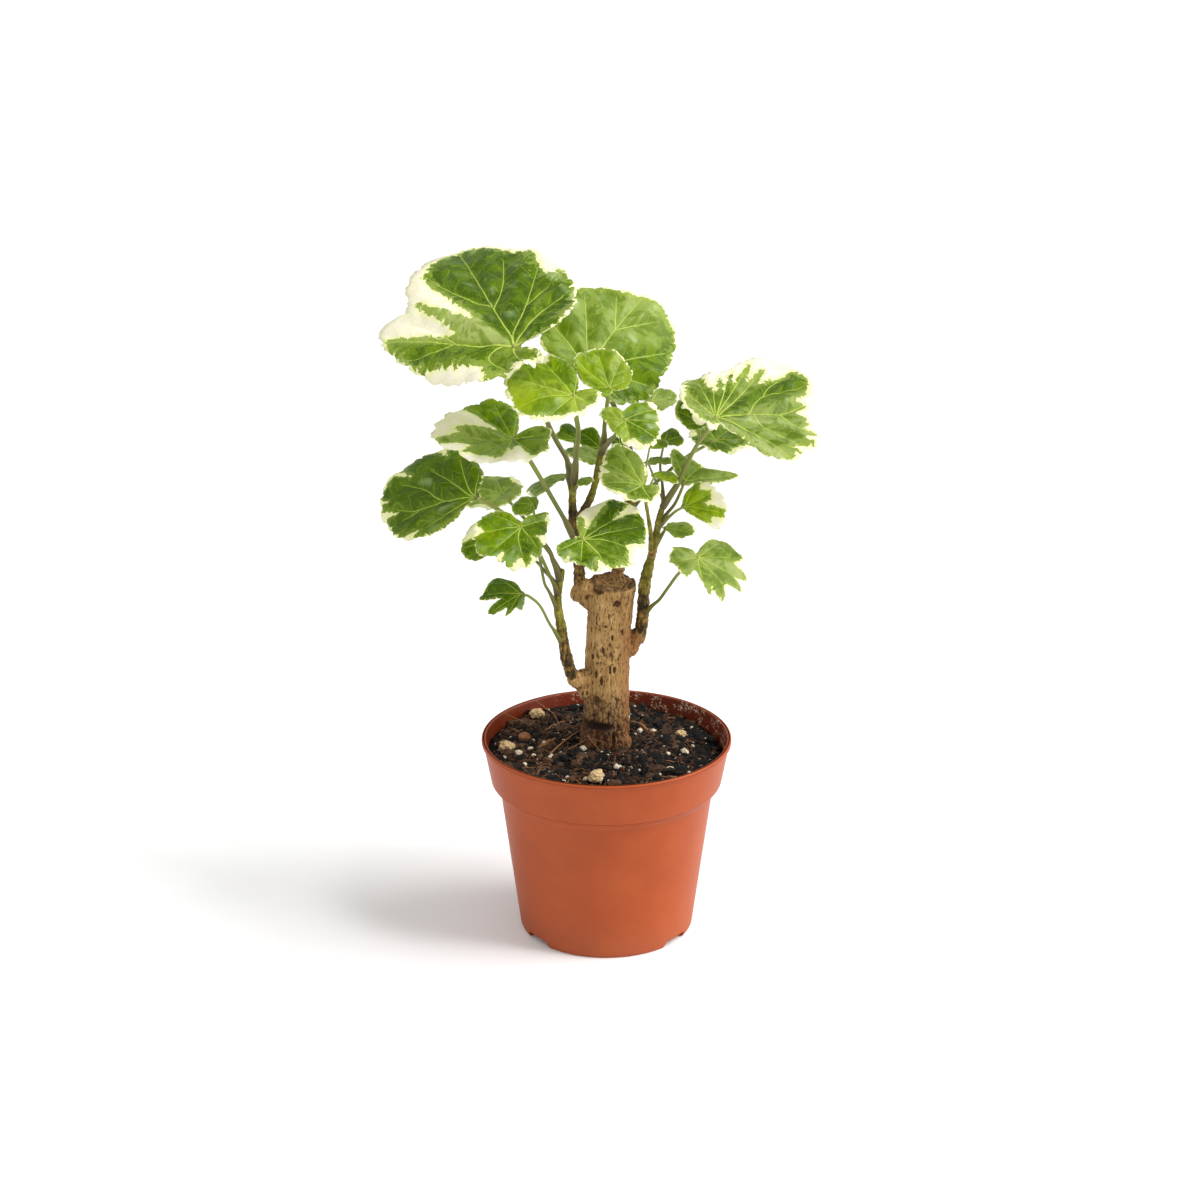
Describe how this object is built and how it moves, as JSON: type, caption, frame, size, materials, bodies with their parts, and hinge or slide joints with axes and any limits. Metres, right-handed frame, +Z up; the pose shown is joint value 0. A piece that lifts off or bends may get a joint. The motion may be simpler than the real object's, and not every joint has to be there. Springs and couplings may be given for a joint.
{
  "type": "potted aralia",
  "caption": "Variegated aralia grown from a cut woody cane, with scalloped cream-edged leaves on slender stalks, standing in a terracotta-coloured plastic nursery pot of soil.",
  "frame": {"origin": "centre of the pot's underside, on the surface it stands on", "axes": "+Z up along the pot's axis, -Y towards the front, +X to the right seen from the front"},
  "size_m": [0.2071, 0.1322, 0.3251],
  "materials": {
    "pot": "satin moulded polypropylene",
    "soil": "dark moist potting mix",
    "bark": "rough brown bark",
    "stem": "young woody stem",
    "pumice": "dull porous stone",
    "leaf_mid": "waxy leaf",
    "leaf_dark": "waxy dark leaf",
    "leaf_light": "waxy grey-green leaf",
    "leaf_young": "glossy young leaf"
  },
  "bodies": {
    "root": {"pot": "pot", "soil": "soil", "cane": "bark", "left_shoot": "stem", "centre_shoot": "stem", "crown_shoot": "stem", "right_shoot": "stem", "inner_shoot": "stem", "back_shoot": "stem", "pumice_left": "pumice", "pumice_front": "pumice", "pumice_back": "pumice", "clay_left": "pumice", "pumice_right": "pumice", "crown_left_leaf": "leaf_mid", "crown_back_leaf": "leaf_light", "young_left_leaf": "leaf_young", "young_round_leaf": "leaf_young", "young_right_leaf": "leaf_young", "right_large_leaf": "leaf_mid", "back_pale_leaf": "leaf_light", "back_dark_leaf": "leaf_mid", "right_fold_leaf": "leaf_mid", "long_leaf": "leaf_light", "left_mid_leaf": "leaf_mid", "left_dark_leaf": "leaf_dark", "lower_left_leaf": "leaf_young", "upper_small_leaf": "leaf_mid", "left_small_leaf": "leaf_dark", "front_leaf": "leaf_mid", "middle_leaf": "leaf_light", "low_left_leaf": "leaf_dark", "low_right_leaf": "leaf_light", "right_small_leaf": "leaf_young", "right_tiny_leaf": "leaf_light", "back_near_leaf": "leaf_mid", "back_mid_leaf": "leaf_dark", "back_low_leaf": "leaf_light", "fold_leaf": "leaf_light", "fold_tiny_leaf": "leaf_light", "tip_front_leaf": "leaf_young", "tip_back_leaf": "leaf_light", "tip_high_leaf": "leaf_young", "dark_bit_leaf": "leaf_dark", "rear_low_leaf": "leaf_mid", "rear_left_leaf": "leaf_light", "rear_right_leaf": "leaf_mid"}
  },
  "joints": []
}
